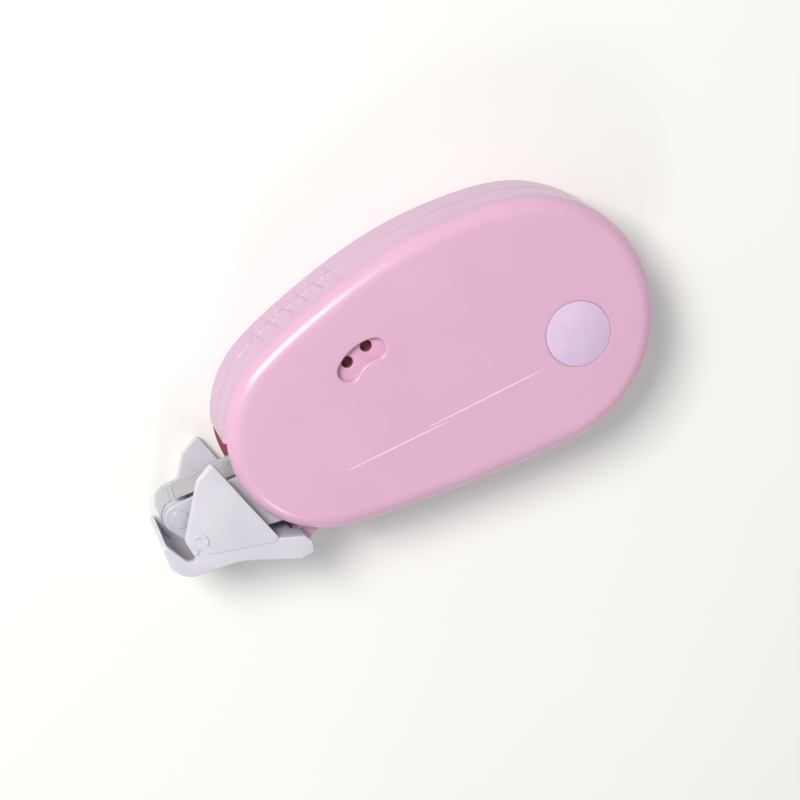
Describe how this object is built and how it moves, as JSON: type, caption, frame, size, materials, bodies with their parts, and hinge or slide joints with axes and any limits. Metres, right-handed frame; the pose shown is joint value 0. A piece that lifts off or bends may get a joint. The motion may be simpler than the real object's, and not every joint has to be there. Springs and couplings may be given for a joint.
{
  "type": "glue tape runner",
  "caption": "Flat egg-shaped glue tape runner: two-part snap casing with geared tape reels inside, a clear roller tip and a hinged flip cap over it.",
  "frame": {"origin": "on the rest plane, under the middle of the whole runner's bounding box", "axes": "+X to the round rear end (the tip points to -X), +Y to the ribbed upper edge, +Z through the thickness to the labelled face"},
  "size_m": [0.0745, 0.0362, 0.0148],
  "materials": {
    "pink_abs": "glossy moulded ABS",
    "lavender_print": "satin printed label",
    "ivory_pom": "satin moulded POM",
    "black_rubber": "matte",
    "white_pp": "satin moulded PP",
    "rose_pom": "satin moulded POM",
    "glue_tape": "translucent film",
    "liner_paper": "release liner",
    "clear_ps": "clear moulded polystyrene",
    "steel_pin": "drawn wire"
  },
  "bodies": {
    "casing": {"far_shell": "pink_abs", "near_shell": "pink_abs", "label_disc": "lavender_print", "head_frame": "clear_ps", "feed_tape_run": "glue_tape", "liner_return_run": "liner_paper", "tip_axle": "steel_pin", "cap_hinge_pin": "steel_pin"},
    "supply_drive": {"supply_gear": "ivory_pom", "clutch_ring": "black_rubber", "clutch_cap": "white_pp"},
    "supply_spool": {"supply_core": "rose_pom", "supply_tape_roll": "glue_tape"},
    "takeup_spool": {"takeup_reel": "rose_pom", "takeup_flange": "white_pp", "takeup_liner_roll": "liner_paper"},
    "feed_guide": {"feed_guide_roller": "rose_pom"},
    "return_guide": {"return_guide_roller": "rose_pom"},
    "tip": {"tip_roller": "clear_ps"},
    "flip_cap": {"cap": "white_pp"}
  },
  "joints": [
    {"name": "supply_spin", "type": "hinge", "parent": "casing", "child": "supply_drive", "pos_m": [0.0196, -0.00053, 0.0023], "axis": [0, 0, 1], "continuous": true},
    {"name": "clutch_slip", "type": "hinge", "parent": "supply_drive", "child": "supply_spool", "pos_m": [0.0196, -0.00053, 0.0073], "axis": [0, 0, 1], "continuous": true},
    {"name": "takeup_spin", "type": "hinge", "parent": "casing", "child": "takeup_spool", "pos_m": [-0.00235, 0.001, 0.0023], "axis": [0, 0, 1], "continuous": true},
    {"name": "feed_guide_spin", "type": "hinge", "parent": "casing", "child": "feed_guide", "pos_m": [-0.0139, -0.00903, 0.0073], "axis": [0, 0, 1], "continuous": true},
    {"name": "return_guide_spin", "type": "hinge", "parent": "casing", "child": "return_guide", "pos_m": [-0.0185, -0.00313, 0.0073], "axis": [0, 0, 1], "continuous": true},
    {"name": "tip_roller_spin", "type": "hinge", "parent": "casing", "child": "tip", "pos_m": [-0.0333, -0.00203, 0.0073], "axis": [0, 0, 1], "continuous": true},
    {"name": "cap_hinge", "type": "hinge", "parent": "casing", "child": "flip_cap", "pos_m": [-0.02059, -0.01317, 0.0073], "axis": [0, 0, 1], "range_deg": [0, 125]}
  ],
  "couplings": [
    {"joint": "takeup_spin", "follows": "supply_spin", "ratio": -2.2353},
    {"joint": "feed_guide_spin", "follows": "supply_spin", "ratio": 7.8753},
    {"joint": "return_guide_spin", "follows": "supply_spin", "ratio": 7.8753},
    {"joint": "tip_roller_spin", "follows": "supply_spin", "ratio": 6.3753}
  ]
}
